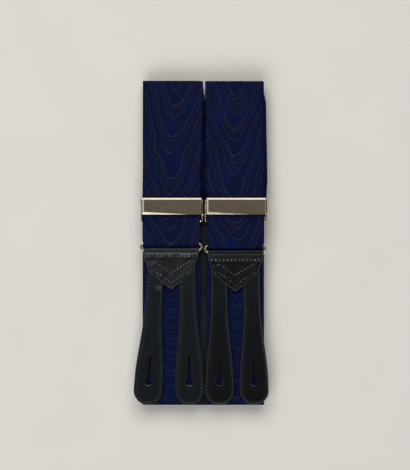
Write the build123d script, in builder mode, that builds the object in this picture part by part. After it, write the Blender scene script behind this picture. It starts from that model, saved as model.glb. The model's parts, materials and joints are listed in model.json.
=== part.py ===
"""Button-on dress suspenders with a Y back, folded for storage.

Two navy ribbon shoulder straps meet in a leather back patch, and an elastic strap runs from the
patch to the rear leather end. Each front strap passes through a lever adjuster, goes round a wire
ring and comes back to the adjuster's bottom bar. Every ring carries a leather end with two tabs,
and each tab has a keyhole buttonhole.

Row frame, in millimetres: X is across the straps, +Y runs up the folded pack towards the top
folds, +Z is up. The pack lies on Z = 0, with its top layer, the adjusters and the front ends
upwards. The layers from the surface up are: rear end and lower elastic, back patch with the back
panels, lower panels, middle panels, upper panels with the adjusters and front ends.
"""

from build123d import *
import math
import os

# ---------------------------------------------------------------- driving dimensions
strap_width = 38.0
strap_thickness = 0.9
strap_pitch = 42.4  # between the two straps' centre lines
middle_x = 1.4  # middle of the back: the left outer tab splays out furthest
elastic_width = 36.0
elastic_thickness = 1.1
leather_thickness = 1.05
layer_gap = 0.3  # between layers that rest on each other
seam_gap = 0.05  # between solids of one cut-up strap

pack_half_length = 107.9  # outermost Y of the lowest folds, at both ends
fold_top = 107.2  # outermost Y of the upper panel's fold
fold_bottom = -107.2  # outermost Y of the middle panel's fold
middle_fold_gap = 1.3  # between the lower and middle panels
fold_sweep = 88.0  # degrees of bend on each side of a fold's parting plane
turn_length = 3.0  # straight run of a turn that is its own piece

ring_wire = 0.85  # radius
ring_bar_spacing = 4.4
ring_half_width = 20.9
front_bar_y = {"left": -0.2, "right": -1.7}  # bar of each front ring that the strap goes round
rear_bar_y = -3.3  # bar of the rear ring that the elastic goes round
bight_inner = 1.25  # radius inside the strap where it goes round a ring
bight_width = 36.6  # the strap gathers a little inside the ring
elastic_bight_inner = 1.0

leather_inner = 1.05  # radius inside the leather roll round a ring's bar
roll_half_width = 18.4
ply_thickness = 0.97  # each of a tab's two plies
ply_gap = 0.03  # from a ply to the tab's middle plane
tab_offset = 10.7  # from an end's centre line to each tab's neck
tab_pivot = -22.5  # where the free tab starts, from the roll's axis
root_length = 15.9  # of a tab's sewn-in upper end
front_tip_y = -106.9  # tips of the front tabs
rear_tab_reach = 101.6  # from the rear roll's axis to the rear tabs' tips
neck_half = 5.4
tip_half = 9.5
hole_radius = 2.35
hole_from_tip = 15.0
slot_half = 0.65
slot_end_from_tip = 32.3

frame_wire = 0.65  # radius
frame_half_width = 20.1
frame_bottom_y = 14.3
hinge_y = 28.6
knuckle_radius = 1.2
lever_half_width = 19.4
lever_bevel = (1.1, 0.46)
lever_front_bevel = (1.7, 0.7)
adjuster_shift = 0.4
lever_front_y = 18.9
lever_back_y = 29.8
lever_thickness = 1.0
skirt_thickness = 0.6
crossbar_y = 23.5
panel_end_y = 24.0  # where the upper panel gives way to the front ply

patch_top, patch_bottom = 27.0, -34.0
strap_join_y, strap_join_x = 2.0, 9.0  # centre of each strap's end inside the patch

# splay of each tab away from its end's centre line, in degrees
tab_splay = {
    "left_outer": 3.8,
    "left_inner": 1.2,
    "right_outer": 1.5,
    "right_inner": -0.2,
    "rear_left": 1.8,
    "rear_right": 1.8,
}

# ---------------------------------------------------------------- heights that follow
leather_outer = leather_inner + leather_thickness
rear_ring_z = leather_outer
patch_outer_z = 2 * leather_outer + layer_gap  # lowest face of the patch
back_z = {}  # middle plane of each back panel
back_z["left"] = patch_outer_z + leather_thickness + seam_gap + strap_thickness / 2
back_z["right"] = back_z["left"] + strap_thickness + seam_gap
elastic_upper_z = patch_outer_z + leather_thickness + seam_gap + elastic_thickness / 2
patch_inner_z = back_z["right"] + strap_thickness / 2 + seam_gap
lower_z = patch_inner_z + leather_thickness + layer_gap + strap_thickness / 2
middle_z = lower_z + strap_thickness + middle_fold_gap
bight_outer = bight_inner + strap_thickness
front_ring_z = middle_z + strap_thickness / 2 + layer_gap + bight_outer
front_ply_z = front_ring_z + bight_inner + strap_thickness / 2
return_ply_z = front_ring_z - bight_inner - strap_thickness / 2
elastic_lower_z = elastic_thickness / 2
frame_bottom_z = front_ring_z - bight_inner + seam_gap + frame_wire
hinge_z = front_ply_z + strap_thickness / 2 + 0.2 + knuckle_radius

upper_fold_r = (front_ply_z - middle_z) / 2
middle_fold_r = (middle_z - lower_z) / 2
lower_fold_r = {side: (lower_z - back_z[side]) / 2 for side in back_z}
elastic_fold_r = (elastic_upper_z - elastic_lower_z) / 2

upper_fold_y = fold_top - upper_fold_r - strap_thickness / 2
middle_fold_y = fold_bottom + middle_fold_r + strap_thickness / 2
lower_fold_y = pack_half_length - lower_fold_r["left"] - strap_thickness / 2
elastic_fold_y = elastic_fold_r + elastic_thickness / 2 - pack_half_length
front_end_y = {side: bar - ring_bar_spacing for side, bar in front_bar_y.items()}
rear_end_y = rear_bar_y + ring_bar_spacing  # axis of the rear leather roll
strap_x = {"left": middle_x - strap_pitch / 2, "right": middle_x + strap_pitch / 2}


def pivot_beyond(fold_radius):
    """How far past a fold's centre its hinge lies, so that the strap opens to its own length."""
    return math.pi / 2 * fold_radius


def save(builder, name):
    """Label a finished piece and write its STEP file."""
    builder.part.label = name
    export_step(builder.part, f"parts/{name}.step")


# ---------------------------------------------------------------- straps and elastic
def side_plane(x):
    """Plane across the straps: its own x is the row's Y, and its own y is the row's Z."""
    return Plane(origin=(x, 0, 0), x_dir=(0, 1, 0), z_dir=(1, 0, 0))


def fold_arc(centre_y, z, radius, towards_top, upwards):
    """Quarter bend from a panel at height z to the parting plane of its fold."""
    centre = (centre_y, z + radius if upwards else z - radius)
    start = 270 if upwards else 90
    turn = fold_sweep if upwards == towards_top else -fold_sweep
    return CenterArc(centre, radius, start, turn)


def ribbon_panel(name, x, z, ends, width, thickness, folds=()):
    """Flat stretch of strap between the two Y values of ends, with a bend solid for each fold."""
    low, high = ends
    with BuildPart() as panel:
        with BuildSketch(side_plane(x - width / 2)):
            with BuildLine():
                Line((low, z), (high, z))
                for centre_y, radius, upwards in folds:
                    fold_arc(centre_y, z, radius, centre_y > 0, upwards)
            trace(line_width=thickness)
        extrude(amount=width)
    save(panel, name)


def back_panel(side):
    """Strap from the first fold to the back patch, leaning towards the middle of the back."""
    name = f"{side}_strap_back"
    top_x = strap_x[side]
    join_x = middle_x + math.copysign(strap_join_x, top_x)
    half, z = strap_width / 2, back_z[side]
    with BuildPart() as panel:
        with BuildSketch(Plane.XY.offset(z - strap_thickness / 2)):
            with BuildLine():
                Polyline(
                    (top_x - half, lower_fold_y),
                    (top_x + half, lower_fold_y),
                    (join_x + half, strap_join_y),
                    (join_x - half, strap_join_y),
                    close=True,
                )
            make_face()
        extrude(amount=strap_thickness)
        with BuildSketch(side_plane(top_x - half)):
            with BuildLine():
                fold_arc(lower_fold_y, z, lower_fold_r[side], True, True)
            trace(line_width=strap_thickness)
        extrude(amount=strap_width)
    save(panel, name)


def bight(name, x, bar_y, z, inner, width, thickness, tails, towards_top):
    """Strap round a bar: half a turn and two tails, the upper tail and the lower tail."""
    mid = inner + thickness / 2
    way = 1 if towards_top else -1  # the side of the bar that the tails leave from
    upper_tail, lower_tail = tails
    with BuildPart() as loop:
        with BuildSketch(side_plane(x - width / 2)):
            with BuildLine():
                Line((bar_y + way * upper_tail, z + mid), (bar_y, z + mid))
                ThreePointArc((bar_y, z + mid), (bar_y - way * mid, z), (bar_y, z - mid))
                Line((bar_y, z - mid), (bar_y + way * lower_tail, z - mid))
            trace(line_width=thickness)
        extrude(amount=width)
    save(loop, name)


# ---------------------------------------------------------------- wire rings
def wire_ring(name, x, low_bar_y, z):
    """Flat oval ring of round wire with two straight bars, its lower bar at low_bar_y."""
    end_r = ring_bar_spacing / 2
    bar_half = ring_half_width - ring_wire - end_r
    base = Plane(origin=(x, low_bar_y + end_r, z))
    with BuildPart() as ring:
        with BuildLine(base) as path:
            Line((-bar_half, end_r), (bar_half, end_r))
            ThreePointArc((bar_half, end_r), (bar_half + end_r, 0), (bar_half, -end_r))
            Line((bar_half, -end_r), (-bar_half, -end_r))
            ThreePointArc((-bar_half, -end_r), (-bar_half - end_r, 0), (-bar_half, end_r))
        wire = path.wires()[0]
        with BuildSketch(Plane(origin=wire @ 0, z_dir=wire % 0)):
            Circle(ring_wire)
        sweep(path=wire)
    save(ring, name)


# ---------------------------------------------------------------- leather ends
def end_plane(x, y, z, tabs_down=True):
    """Plane of a leather end: origin on the roll's axis, own -y towards the tabs."""
    return Plane(origin=(x, y, z), x_dir=(1 if tabs_down else -1, 0, 0), z_dir=(0, 0, 1))


def leather_facing(name, base):
    """Leather folded over the ring's bar: the roll, the shield in front, a short lap behind."""
    mid = leather_inner + leather_thickness / 2
    profile = Plane(
        origin=base.from_local_coords((-20, 0, 0)), x_dir=base.y_dir, z_dir=base.x_dir
    )
    with BuildPart() as facing:
        with BuildSketch(profile):
            with BuildLine():
                Line((-27, mid), (0, mid))
                ThreePointArc((0, mid), (mid, 0), (0, -mid))
                Line((0, -mid), (-6, -mid))
            trace(line_width=leather_thickness)
        extrude(amount=40)
        with BuildSketch(base.offset(-5)):
            with BuildLine():
                Polyline(
                    (0, 3),
                    (roll_half_width, 3),
                    (roll_half_width, -1.5),
                    (17.0, -7.2),
                    (13.9, -15.2),
                    (0, -25.8),
                )
                mirror(about=Plane.YZ)
            make_face()
        extrude(amount=10, mode=Mode.INTERSECT)
    save(facing, name)


def leather_backing(name, base):
    """Smaller shield behind the tabs, butted against the facing's lap."""
    with BuildPart() as backing:
        with BuildSketch(base.offset(-leather_outer)):
            with BuildLine():
                Polyline((0, -6.1), (16.9, -6.1), (13.2, -15.0), (0, -25.0))
                mirror(about=Plane.YZ)
            make_face()
        extrude(amount=leather_thickness)
    save(backing, name)


def tab_plane(base, sign, splay):
    """Plane of one tab: origin where the free tab starts, own -y along the tab."""
    start = base.from_local_coords((sign * tab_offset, tab_pivot, 0))
    return Plane(origin=start, x_dir=base.x_dir, z_dir=base.z_dir).rotated(
        (0, 0, sign * splay)
    )


def tab_roots(name, planes):
    """Upper ends of both tabs, sewn in between the facing and the backing."""
    with BuildPart() as roots:
        for plane in planes:
            with BuildSketch(plane.offset(-leather_inner + seam_gap)):
                with Locations((0, seam_gap)):
                    Rectangle(2 * neck_half, root_length, align=(Align.CENTER, Align.MIN))
            extrude(amount=2 * (leather_inner - seam_gap))
    save(roots, name)


def tab_ply(name, plane, height, length):
    """One ply of a free tab, thickened upwards from the given height, with its keyhole cut."""
    round_y = -(length - tip_half)
    hole_y = -(length - hole_from_tip)
    slot_y = -(length - slot_end_from_tip)
    with BuildPart() as ply:
        with BuildSketch(plane.offset(height)):
            with BuildLine():
                Line((-neck_half, 0), (neck_half, 0))
                side = Spline(
                    (neck_half, 0),
                    (neck_half + 0.1, -18.0),
                    (7.4, -39.0),
                    (9.2, -57.0),
                    (tip_half, round_y),
                    tangents=((0, -1), (0, -1)),
                )
                ThreePointArc(side @ 1, (0, round_y - tip_half), (-tip_half, round_y))
                mirror(side, about=Plane.YZ)
            make_face()
            with Locations((0, hole_y)):
                Circle(hole_radius, mode=Mode.SUBTRACT)
            with BuildLine():
                Polyline(
                    (-1.4, hole_y + 1.88),
                    (1.4, hole_y + 1.88),
                    (slot_half, hole_y + 4.7),
                    (-slot_half, hole_y + 4.7),
                    close=True,
                )
            make_face(mode=Mode.SUBTRACT)
            with Locations((0, (hole_y + slot_y) / 2)):
                SlotCenterToCenter(
                    slot_y - hole_y - 2 * slot_half,
                    2 * slot_half,
                    rotation=90,
                    mode=Mode.SUBTRACT,
                )
        extrude(amount=ply_thickness)
    save(ply, name)


def leather_end(prefix, base, reach, tabs):
    """Facing, backing, sewn-in roots and two lined tabs. tabs maps a tab's name to its side."""
    free_length = reach + tab_pivot
    leather_facing(f"{prefix}_leather_facing", base)
    leather_backing(f"{prefix}_leather_backing", base)
    planes = {tab: tab_plane(base, sign, tab_splay[tab]) for tab, sign in tabs.items()}
    tab_roots(f"{prefix}_tab_roots", planes.values())
    for tab, plane in planes.items():
        tab_ply(f"{tab}_tab", plane, ply_gap, free_length)
        tab_ply(f"{tab}_tab_lining", plane, -ply_gap - ply_thickness, free_length)


# ---------------------------------------------------------------- adjusters
def adjuster_frame(side):
    """Closed wire frame whose top bar is the lever's hinge rod, with a crossbar under the strap."""
    x = strap_x[side] + adjuster_shift
    run, rise = hinge_y - frame_bottom_y, hinge_z - frame_bottom_z
    length = math.hypot(run, rise)
    middle = (x, (hinge_y + frame_bottom_y) / 2, (hinge_z + frame_bottom_z) / 2)
    lean = Plane(origin=middle, x_dir=(1, 0, 0), z_dir=(0, -rise, run))
    crossbar_top = front_ring_z + bight_inner - 0.25
    arm_z = frame_bottom_z + (crossbar_y - frame_bottom_y) * rise / run
    with BuildPart() as frame:
        with BuildLine(lean) as path:
            half_x, half_y = frame_half_width, length / 2
            FilletPolyline(
                (half_x, half_y),
                (half_x, -half_y),
                (-half_x, -half_y),
                (-half_x, half_y),
                radius=0.9,
                close=True,
            )
        wire = path.wires()[0]
        with BuildSketch(Plane(origin=wire @ 0, z_dir=wire % 0)):
            Circle(frame_wire)
        sweep(path=wire)
        with Locations((x, crossbar_y, crossbar_top - 0.4)):
            Box(2 * frame_half_width + 1.0, 2.0, 0.8)
        for sign in (-1, 1):
            post_height = arm_z - (crossbar_top - 0.8)
            with Locations(
                (x + sign * (frame_half_width - 0.05), crossbar_y, crossbar_top - 0.8)
            ):
                Box(1.1, 1.6, post_height, align=(Align.CENTER, Align.CENTER, Align.MIN))
    save(frame, f"{side}_adjuster_frame")


def adjuster_lever(side):
    """Bevelled cover plate with side skirts, a knuckle round the hinge rod and a row of teeth.

    The plate's front bevel runs out before its right end, and its right edge is only eased.
    """
    x = strap_x[side] + adjuster_shift
    plate_z = hinge_z + 0.7
    top_z = plate_z + lever_thickness
    skirt_z = hinge_z - 1.2
    teeth_y, teeth_tip_z = 24.8, front_ply_z + strap_thickness / 2 + 0.1
    knuckle_half = 18.5
    with BuildPart() as lever:
        with BuildSketch(side_plane(x - lever_half_width)):
            with BuildLine():
                Polyline(
                    (lever_front_y, top_z),
                    (lever_back_y, top_z),
                    (lever_back_y, plate_z),
                    (27.2, plate_z),
                    (lever_front_y, skirt_z),
                    close=True,
                )
            make_face()
        extrude(amount=2 * lever_half_width)
        pocket_half = lever_half_width - skirt_thickness
        with Locations((x, lever_front_y + skirt_thickness, plate_z)):
            Box(
                2 * pocket_half,
                20,
                5,
                align=(Align.CENTER, Align.MIN, Align.MAX),
                mode=Mode.SUBTRACT,
            )
        bevelled = lever.faces().sort_by(Axis.Z)[-1]
        back_edge = bevelled.edges().sort_by(Axis.Y)[-1]
        left_edge = bevelled.edges().sort_by(Axis.X)[0]
        chamfer(
            [back_edge, left_edge],
            length=lever_bevel[0],
            length2=lever_bevel[1],
            reference=bevelled,
        )
        right_edge = lever.faces().sort_by(Axis.Z)[-1].edges().sort_by(Axis.X)[-1]
        chamfer(right_edge, length=0.3)
        for end_x, scale in ((x - lever_half_width - 0.1, 1.0), (x + 0.5 * lever_half_width, 0.04)):
            with BuildSketch(side_plane(end_x)):
                with BuildLine():
                    Polyline(
                        (lever_front_y, top_z),
                        (lever_front_y + lever_front_bevel[0] * scale, top_z),
                        (lever_front_y, top_z - lever_front_bevel[1] * scale),
                        close=True,
                    )
                make_face()
        loft(mode=Mode.SUBTRACT)
        with BuildSketch(side_plane(x - knuckle_half)):
            with Locations((hinge_y, hinge_z)):
                Circle(knuckle_radius)
        extrude(amount=2 * knuckle_half)
        with BuildSketch(side_plane(x - 20)):
            with Locations((hinge_y, hinge_z)):
                Circle(frame_wire + 0.05)
        extrude(amount=40, mode=Mode.SUBTRACT)
        with Locations((x, teeth_y, teeth_tip_z)):
            with GridLocations(2.0, 0, 17, 1):
                Box(1.2, 1.0, plate_z - teeth_tip_z, align=(Align.CENTER, Align.CENTER, Align.MIN))
        with Locations((x, teeth_y, teeth_tip_z + 0.7)):
            Box(34, 1.0, plate_z - teeth_tip_z - 0.7, align=(Align.CENTER, Align.CENTER, Align.MIN))
    save(lever, f"{side}_adjuster_lever")


# ---------------------------------------------------------------- back patch
def back_patch(name, z):
    """Leather shield that covers the place where the two straps meet the elastic."""
    with BuildPart() as patch:
        with BuildSketch(Plane((middle_x, 0, z))):
            with BuildLine():
                edge = Polyline((0, 17.0), (30.5, patch_top), (33.0, 14.0))
                flank = Spline(
                    edge @ 1,
                    (28.5, -8.0),
                    (22.0, patch_bottom + 4),
                    tangents=((-0.1, -1), (-0.2, -1)),
                )
                Polyline(flank @ 1, (20.5, patch_bottom), (0, patch_bottom))
                mirror(about=Plane.YZ)
            make_face()
        extrude(amount=leather_thickness)
    save(patch, name)


# ---------------------------------------------------------------- assembly
def build_back():
    """Back patch, both back panels and the elastic down to the rear ring."""
    back_patch("back_patch_outer", patch_outer_z)
    back_patch("back_patch_inner", patch_inner_z)
    for side in strap_x:
        back_panel(side)
    ribbon_panel(
        "rear_elastic_upper",
        middle_x,
        elastic_upper_z,
        (elastic_fold_y, -2.0),
        elastic_width,
        elastic_thickness,
        [(elastic_fold_y, elastic_fold_r, False)],
    )
    ribbon_panel(
        "rear_elastic_turn",
        middle_x,
        elastic_lower_z,
        (elastic_fold_y, -86.0),
        elastic_width,
        elastic_thickness,
        [(elastic_fold_y, elastic_fold_r, True)],
    )
    ribbon_panel(
        "rear_elastic_stretch",
        middle_x,
        elastic_lower_z,
        (-86.0 + seam_gap, -20.0 - seam_gap),
        elastic_width,
        elastic_thickness,
    )
    bight(
        "rear_elastic_sewn_end",
        middle_x,
        rear_bar_y,
        rear_ring_z,
        elastic_bight_inner,
        elastic_width,
        elastic_thickness,
        (14.0, 20.0 + rear_bar_y),
        towards_top=False,
    )
    wire_ring("rear_ring", middle_x, rear_bar_y, rear_ring_z)
    leather_end(
        "rear",
        end_plane(middle_x, rear_end_y, rear_ring_z, tabs_down=False),
        rear_tab_reach,
        {"rear_left": 1, "rear_right": -1},
    )


def build_front(side):
    """One shoulder strap from its lower panel to the front leather end."""
    x = strap_x[side]
    bar_y, end_y = front_bar_y[side], front_end_y[side]
    outwards = math.copysign(1, x)
    ribbon_panel(
        f"{side}_strap_lower",
        x,
        lower_z,
        (middle_fold_y, lower_fold_y),
        strap_width,
        strap_thickness,
        [(lower_fold_y, lower_fold_r[side], False), (middle_fold_y, middle_fold_r, True)],
    )
    ribbon_panel(
        f"{side}_strap_middle",
        x,
        middle_z,
        (middle_fold_y, upper_fold_y - turn_length - seam_gap),
        strap_width,
        strap_thickness,
        [(middle_fold_y, middle_fold_r, False)],
    )
    ribbon_panel(
        f"{side}_strap_middle_turn",
        x,
        middle_z,
        (upper_fold_y - turn_length, upper_fold_y),
        strap_width,
        strap_thickness,
        [(upper_fold_y, upper_fold_r, True)],
    )
    ribbon_panel(
        f"{side}_strap_upper",
        x,
        front_ply_z,
        (panel_end_y, upper_fold_y),
        strap_width,
        strap_thickness,
        [(upper_fold_y, upper_fold_r, False)],
    )
    tail = 3.0
    ribbon_panel(
        f"{side}_strap_front_ply",
        x,
        front_ply_z,
        (bar_y + tail + seam_gap, panel_end_y - seam_gap),
        strap_width,
        strap_thickness,
    )
    ribbon_panel(
        f"{side}_strap_return",
        x,
        return_ply_z,
        (bar_y + tail + seam_gap, frame_bottom_y - 5.0 - seam_gap),
        strap_width,
        strap_thickness,
    )
    bight(
        f"{side}_strap_bight",
        x,
        bar_y,
        front_ring_z,
        bight_inner,
        bight_width,
        strap_thickness,
        (tail, tail),
        towards_top=True,
    )
    bight(
        f"{side}_strap_sewn_end",
        x,
        frame_bottom_y,
        frame_bottom_z,
        frame_wire + seam_gap,
        strap_width - 0.6,
        strap_thickness,
        (5.0, 5.0),
        towards_top=False,
    )
    adjuster_frame(side)
    adjuster_lever(side)
    wire_ring(f"{side}_ring", x, end_y, front_ring_z)
    leather_end(
        side,
        end_plane(x, end_y, front_ring_z),
        end_y - front_tip_y,
        {f"{side}_outer": outwards, f"{side}_inner": -outwards},
    )


os.makedirs("parts", exist_ok=True)
build_back()
for side_name in strap_x:
    build_front(side_name)
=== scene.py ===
"""Looks of the folded dress suspenders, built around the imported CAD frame.

Lengths in this file are in millimetres until a mesh is made. Across means along X, up the strap
means along +Y, and a strap's texture runs in millimetres from its top fold.
"""

import json
import random
from math import atan2, ceil, cos, degrees, hypot, pi, radians, sin, sqrt, tan, tau

import bmesh
import bpy
import numpy as np
from mathutils import Matrix, Vector


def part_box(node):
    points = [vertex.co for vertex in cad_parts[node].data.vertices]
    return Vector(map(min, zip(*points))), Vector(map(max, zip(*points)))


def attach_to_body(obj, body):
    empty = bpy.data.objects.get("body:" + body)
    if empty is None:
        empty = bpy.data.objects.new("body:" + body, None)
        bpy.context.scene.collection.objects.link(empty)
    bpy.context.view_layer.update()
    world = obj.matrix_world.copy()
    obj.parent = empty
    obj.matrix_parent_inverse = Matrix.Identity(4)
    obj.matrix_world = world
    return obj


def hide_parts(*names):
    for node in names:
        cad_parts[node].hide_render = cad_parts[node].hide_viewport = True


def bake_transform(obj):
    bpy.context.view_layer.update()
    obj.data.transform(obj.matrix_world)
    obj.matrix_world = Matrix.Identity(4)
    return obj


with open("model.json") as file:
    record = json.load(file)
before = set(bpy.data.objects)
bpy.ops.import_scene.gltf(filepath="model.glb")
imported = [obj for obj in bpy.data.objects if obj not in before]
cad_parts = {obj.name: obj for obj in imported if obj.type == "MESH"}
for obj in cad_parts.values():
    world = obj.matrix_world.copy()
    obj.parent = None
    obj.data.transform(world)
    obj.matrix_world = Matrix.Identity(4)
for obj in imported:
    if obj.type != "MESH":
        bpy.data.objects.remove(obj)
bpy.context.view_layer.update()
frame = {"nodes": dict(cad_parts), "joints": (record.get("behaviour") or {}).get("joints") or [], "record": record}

MM = 0.001
UV_SCALE = 0.01  # texture units per millimetre
SIDES = ("left", "right")
JOINTS = {j["name"]: j for j in frame["joints"]}


# ---------- reading the frame
def extent(node):
    """Lowest and highest corner of a CAD node, in millimetres."""
    low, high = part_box(node)
    return low / MM, high / MM


def middle(node):
    """Centre of a CAD node, in millimetres."""
    low, high = extent(node)
    return (low + high) / 2


def pivot(joint):
    """Where a joint turns, in millimetres."""
    return Vector(JOINTS[joint]["pos_m"]) / MM


# ---------- mesh helpers
def new_object(name, data):
    piece = bpy.data.objects.new(name, data)
    bpy.context.scene.collection.objects.link(piece)
    return piece


def apply_modifiers(piece):
    """Gives the piece the mesh that its modifiers make, and takes them away."""
    bpy.context.view_layer.update()
    graph = bpy.context.evaluated_depsgraph_get()
    mesh = bpy.data.meshes.new_from_object(piece.evaluated_get(graph))
    piece.modifiers.clear()
    piece.data = mesh
    return mesh


def face_outward(mesh, merge=0.0):
    """Turns a closed mesh's faces outward, once points closer than merge are joined."""
    work = bmesh.new()
    work.from_mesh(mesh)
    if merge:
        bmesh.ops.remove_doubles(work, verts=work.verts, dist=merge * MM)
    bmesh.ops.recalc_face_normals(work, faces=work.faces)
    work.to_mesh(mesh)
    work.free()


def attach(piece, body, nodes=(), place=None):
    """Rides the piece on a body, and hides the CAD nodes that it stands in for."""
    if place is not None:
        piece.matrix_world = place
    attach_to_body(piece, body)
    if nodes:
        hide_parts(*nodes)


def mark_edges(mesh, angle=38.0):
    """Smooth shading, with edges sharper than the angle left hard."""
    work = bmesh.new()
    work.from_mesh(mesh)
    for face in work.faces:
        face.smooth = True
    limit = radians(angle)
    for edge in work.edges:
        if len(edge.link_faces) == 2:
            edge.smooth = edge.calc_face_angle(0.0) < limit
    work.to_mesh(mesh)
    work.free()


def add_mesh(name, points, faces, material, layers=None):
    """A new object from points in millimetres. layers gives each UV map a place per point."""
    mesh = bpy.data.meshes.new(name)
    mesh.from_pydata([tuple(p) for p in np.asarray(points) * MM], [], faces)
    for layer_name, places in (layers or {}).items():
        layer = mesh.uv_layers.new(name=layer_name)
        at = np.asarray(places)[[loop.vertex_index for loop in mesh.loops]] * UV_SCALE
        layer.data.foreach_set("uv", at.astype(np.float32).ravel())
    mesh.materials.append(material)
    mark_edges(mesh)
    return new_object(name, mesh)


def tube_faces(rings, count):
    """Quads between neighbouring rings, each a closed run of count points."""
    faces = []
    for i in range(rings - 1):
        for k in range(count):
            m = (k + 1) % count
            faces.append((i * count + k, i * count + m, (i + 1) * count + m, (i + 1) * count + k))
    return faces


def distance_to(outline, x, s):
    """Distance of each point (x, s) from an outline given as a list of points."""
    pts = np.asarray(outline, float)
    best = np.full(x.shape, 1e9)
    for (ax, ay), (bx, by) in zip(pts[:-1], pts[1:]):
        dx, dy = bx - ax, by - ay
        square = dx * dx + dy * dy
        if square < 1e-12:
            continue
        t = np.clip(((x - ax) * dx + (s - ay) * dy) / square, 0, 1)
        best = np.minimum(best, np.hypot(x - ax - t * dx, s - ay - t * dy))
    return best


def smooth_step(low, high, value):
    t = np.clip((value - low) / (high - low), 0, 1)
    return t * t * (3 - 2 * t)


def distances(points):
    """Distance of each point along the line that joins them."""
    return np.concatenate([[0], np.cumsum(np.linalg.norm(np.diff(points, axis=0), axis=1))])


class Path:
    """Centre line of a strip in the YZ plane, made of straight runs and arcs."""

    def __init__(self, y, z, step=2.0):
        self.points = [(y, z)]
        self.step = step

    def line(self, y, z, at=None):
        """Straight run. at lists the distances from its start where rows go."""
        y0, z0 = self.points[-1]
        length = hypot(y - y0, z - z0)
        if at is None:
            count = max(1, ceil(length / self.step))
            at = [length * i / count for i in range(1, count + 1)]
        for d in at:
            self.points.append((y0 + (y - y0) * d / length, z0 + (z - z0) * d / length))
        return self

    def arc(self, y, z, radius, start, turn, count=14):
        """Arc about (y, z), from the start angle through turn degrees."""
        for i in range(1, count + 1):
            a = radians(start + turn * i / count)
            self.points.append((y + radius * cos(a), z + radius * sin(a)))
        return self

    def rows(self):
        """The points without repeats, their normals, and their distances along the path."""
        p = np.array(self.points)
        keep = np.concatenate([[True], np.linalg.norm(np.diff(p, axis=0), axis=1) > 1e-6])
        p = p[keep]
        ahead = np.gradient(p, axis=0)
        ahead /= np.linalg.norm(ahead, axis=1)[:, None]
        normals = np.stack([-ahead[:, 1], ahead[:, 0]], axis=1)
        return p, normals, distances(p)


NARROW = 1.4  # a row's edge steps shrink where half its width is below this many of their reach


def strip(
    name,
    path,
    width,
    thickness,
    material,
    centre=0.0,
    edge_steps=(0, 0.06, 0.16, 0.34, 0.7, 1.5),
    inner=14,
    rounding=0.3,
    outline=None,
    relief=None,
    texture=None,
    texture_x=0.0,
):
    """Closed strip of cloth or leather along a path.

    width and centre are numbers or functions of the distance along the path. relief(x, y, along,
    edge) gives how far each face stands proud: first the face on the left of the path's heading,
    which is up for a path towards +Y, then the other. texture(along) gives the texture's place
    along the strip.
    """
    p, normals, along = path.rows()
    half = np.array([width(d) if callable(width) else width for d in along]) / 2
    middle_x = np.array([centre(d) if callable(centre) else centre for d in along])
    steps = np.array(edge_steps)
    reach = steps[-1]
    fit = np.minimum(1.0, half / (reach * NARROW))[:, None]
    left = -half[:, None] + steps[None, :] * fit
    t = np.linspace(0, 1, inner + 2)[1:-1]
    inside = -half[:, None] + reach * fit + (2 * (half[:, None] - reach * fit)) * t[None, :]
    x = np.concatenate([left, inside, -left[:, ::-1]], axis=1)
    rows, columns = x.shape

    def spread(values):
        return np.repeat(np.asarray(values, float)[:, None], columns, axis=1)

    s = spread(along)
    edge = distance_to(outline, x, s) if outline else half[:, None] - np.abs(x)
    short = np.clip(rounding - edge, 0, rounding)
    drop = rounding - np.sqrt(np.maximum(rounding**2 - short**2, 0))
    y, z = spread(p[:, 0]), spread(p[:, 1])
    ny, nz = normals[:, :1], normals[:, 1:]
    up = down = thickness / 2 - drop
    if relief:
        first, second = relief(x, y, s, edge)
        up, down = up + first, down + second
    world_x = x + middle_x[:, None]
    top = np.stack([world_x, y + ny * up, z + nz * up], axis=2).reshape(-1, 3)
    bottom = np.stack([world_x, y - ny * down, z - nz * down], axis=2).reshape(-1, 3)
    at = spread(texture(along) if texture else along)
    place = np.stack([x + texture_x, at], axis=2).reshape(-1, 2)
    total = rows * columns
    faces = []
    for i in range(rows - 1):
        for j in range(columns - 1):
            a, b = i * columns + j, i * columns + j + 1
            c, d = b + columns, a + columns
            faces.append((a, b, c, d))
            faces.append((total + d, total + c, total + b, total + a))
        a, d = i * columns, (i + 1) * columns
        faces.append((d, total + d, total + a, a))
        a, d = a + columns - 1, d + columns - 1
        faces.append((a, total + a, total + d, d))
    for i in (0, rows - 1):
        for j in range(columns - 1):
            a, b = i * columns + j, i * columns + j + 1
            quad = (b, a, total + a, total + b)
            faces.append(quad if i == 0 else quad[::-1])
    rim = np.stack([edge, s], axis=2).reshape(-1, 2)
    layers = {"flat": np.concatenate([place, place]), "edge": np.concatenate([rim, rim])}
    piece = add_mesh(name, np.concatenate([top, bottom]), faces, material, layers)
    face_outward(piece.data)
    return piece


def ball(around=8, bands=6):
    """Points and outward faces of a ball of diameter 1, with its poles on X."""
    points = []
    for i in range(1, bands):
        up = pi * i / bands
        for k in range(around):
            turn = tau * k / around
            points.append((-cos(up) / 2, sin(up) * cos(turn) / 2, sin(up) * sin(turn) / 2))
    faces = tube_faces(bands - 1, around)
    low, high, last = len(points), len(points) + 1, len(points) - around
    points += [(-0.5, 0, 0), (0.5, 0, 0)]
    for k in range(around):
        m = (k + 1) % around
        faces += [(low, m, k), (high, last + k, last + m)]
    return np.array(points), faces


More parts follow.
